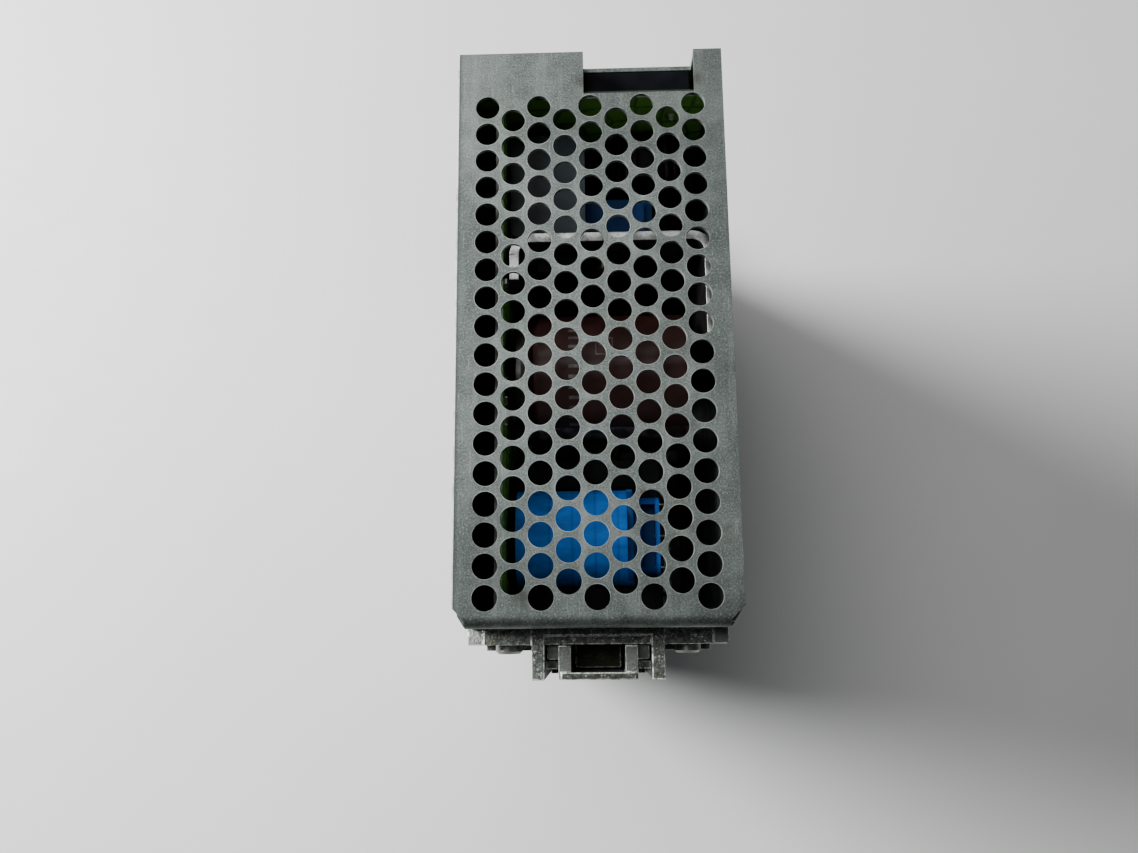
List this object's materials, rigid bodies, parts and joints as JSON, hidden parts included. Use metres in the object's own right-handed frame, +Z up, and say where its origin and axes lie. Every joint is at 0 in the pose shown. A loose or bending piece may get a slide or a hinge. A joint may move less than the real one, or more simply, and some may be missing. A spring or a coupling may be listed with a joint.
{
  "type": "din rail power supply",
  "caption": "DIN rail power supply: perforated sheet metal housing, cast rail adapter with a sprung latch, circuit boards, transformer, input socket and a clamp plug.",
  "frame": {"origin": "centre of the whole object's footprint, on the face it stands on (the output end)", "axes": "+Z up, towards the mains input end, which is the end the picture shows; +Y towards the front with the connectors; +X towards the flat side cover; the rail adapter is at -Y. On a rail the unit hangs the other way up, with +Z pointing down."},
  "size_m": [0.056, 0.1446, 0.13],
  "materials": {
    "galvanised_sheet": "galvanised sheet, satin, mottled",
    "label_foil": "plain foil, no print",
    "cast_metal": "die cast, grit blasted",
    "plated_screw": "zinc plated",
    "spring_steel": "bright wire",
    "insulating_film": "dark film",
    "circuit_board": "green solder mask",
    "black_moulding": "moulded, slightly glossy",
    "tinned_contact": "tinned",
    "blue_moulding": "moulded",
    "white_moulding": "moulded",
    "green_lens": "tinted lens",
    "capacitor_sleeve": "shrink sleeve",
    "capacitor_seal": "pressed disc",
    "grey_moulding": "moulded",
    "navy_moulding": "moulded",
    "ferrite": "pressed and ground",
    "copper_wire": "enamelled",
    "fuse_tube": "glazed tube",
    "plain_aluminium": "bright rolled",
    "winding_tape": "polyester tape",
    "iron_powder": "painted",
    "can_sleeve": "shrink sleeve"
  },
  "bodies": {
    "housing": {"main_shell": "galvanised_sheet", "input_end_plate": "galvanised_sheet", "output_end_plate": "galvanised_sheet", "side_cover": "galvanised_sheet", "front_panel": "galvanised_sheet", "front_label": "label_foil", "cover_screws": "plated_screw", "adapter_body": "cast_metal", "latch_spring": "spring_steel", "adapter_screws": "plated_screw", "weld_nuts": "plated_screw", "insulation_sheet": "insulating_film", "board_standoffs": "plated_screw", "main_board": "circuit_board", "front_board": "circuit_board", "board_link": "black_moulding", "board_screws": "plated_screw", "input_header": "black_moulding", "input_pins": "tinned_contact", "output_header": "black_moulding", "output_pins": "tinned_contact", "trimmer_case": "blue_moulding", "status_leds": "green_lens", "bulk_capacitor": "capacitor_sleeve", "bulk_capacitor_disc": "capacitor_seal", "suppression_capacitor": "grey_moulding", "inrush_relay": "navy_moulding", "filter_choke_core": "ferrite", "filter_choke_winding": "copper_wire", "mains_fuse": "fuse_tube", "fuse_clips": "plated_screw", "surge_varistor": "blue_moulding", "heat_sink_bracket": "plain_aluminium", "power_transistors": "black_moulding", "transistor_screws": "plated_screw", "bridge_rectifier": "black_moulding", "transformer_core": "ferrite", "transformer_winding": "winding_tape", "transformer_bobbin": "winding_tape", "output_choke_core": "iron_powder", "output_choke_winding": "copper_wire", "output_capacitors": "can_sleeve", "rectifier_heat_sink": "plain_aluminium", "output_rectifier": "black_moulding", "control_board": "circuit_board", "control_chips": "black_moulding", "optocouplers": "white_moulding"},
    "latch": {"latch_slider": "cast_metal"},
    "trimmer": {"trimmer_rotor": "white_moulding"},
    "plug": {"output_plug": "black_moulding", "plug_contacts": "tinned_contact"},
    "screw_1": {"clamp_screw_1": "plated_screw"},
    "cage_1": {"clamp_cage_1": "tinned_contact"},
    "screw_2": {"clamp_screw_2": "plated_screw"},
    "cage_2": {"clamp_cage_2": "tinned_contact"},
    "screw_3": {"clamp_screw_3": "plated_screw"},
    "cage_3": {"clamp_cage_3": "tinned_contact"},
    "screw_4": {"clamp_screw_4": "plated_screw"},
    "cage_4": {"clamp_cage_4": "tinned_contact"}
  },
  "joints": [
    {"name": "latch_pull", "type": "slide", "parent": "housing", "child": "latch", "axis": [0, 0, 1], "range_m": [0, 0.005], "stiffness_N_per_m": 1500, "springref_m": -0.004, "deforming": ["latch_spring"]},
    {"name": "trimmer_turn", "type": "hinge", "parent": "housing", "child": "trimmer", "pos_m": [-0.016, 0.05585, 0.03], "axis": [0, 1, 0], "range_deg": [-135, 135]},
    {"name": "plug_pull", "type": "slide", "parent": "housing", "child": "plug", "axis": [0, 1, 0], "range_m": [0, 0.01]},
    {"name": "clamp_screw_1_turn", "type": "hinge", "parent": "plug", "child": "screw_1", "pos_m": [-0.00483, 0.06975, 0.0072], "axis": [0, 1, 0], "range_deg": [0, 1800.5]},
    {"name": "clamp_cage_1_slide", "type": "slide", "parent": "plug", "child": "cage_1", "axis": [0, 1, 0], "range_m": [-0.0025, 0]},
    {"name": "clamp_screw_2_turn", "type": "hinge", "parent": "plug", "child": "screw_2", "pos_m": [0.00279, 0.06975, 0.0072], "axis": [0, 1, 0], "range_deg": [0, 1800.5]},
    {"name": "clamp_cage_2_slide", "type": "slide", "parent": "plug", "child": "cage_2", "axis": [0, 1, 0], "range_m": [-0.0025, 0]},
    {"name": "clamp_screw_3_turn", "type": "hinge", "parent": "plug", "child": "screw_3", "pos_m": [0.01041, 0.06975, 0.0072], "axis": [0, 1, 0], "range_deg": [0, 1800.5]},
    {"name": "clamp_cage_3_slide", "type": "slide", "parent": "plug", "child": "cage_3", "axis": [0, 1, 0], "range_m": [-0.0025, 0]},
    {"name": "clamp_screw_4_turn", "type": "hinge", "parent": "plug", "child": "screw_4", "pos_m": [0.01803, 0.06975, 0.0072], "axis": [0, 1, 0], "range_deg": [0, 1800.5]},
    {"name": "clamp_cage_4_slide", "type": "slide", "parent": "plug", "child": "cage_4", "axis": [0, 1, 0], "range_m": [-0.0025, 0]}
  ],
  "couplings": [
    {"joint": "clamp_screw_1_turn", "follows": "clamp_cage_1_slide", "rad_per_m": -12566},
    {"joint": "clamp_screw_2_turn", "follows": "clamp_cage_2_slide", "rad_per_m": -12566},
    {"joint": "clamp_screw_3_turn", "follows": "clamp_cage_3_slide", "rad_per_m": -12566},
    {"joint": "clamp_screw_4_turn", "follows": "clamp_cage_4_slide", "rad_per_m": -12566}
  ]
}
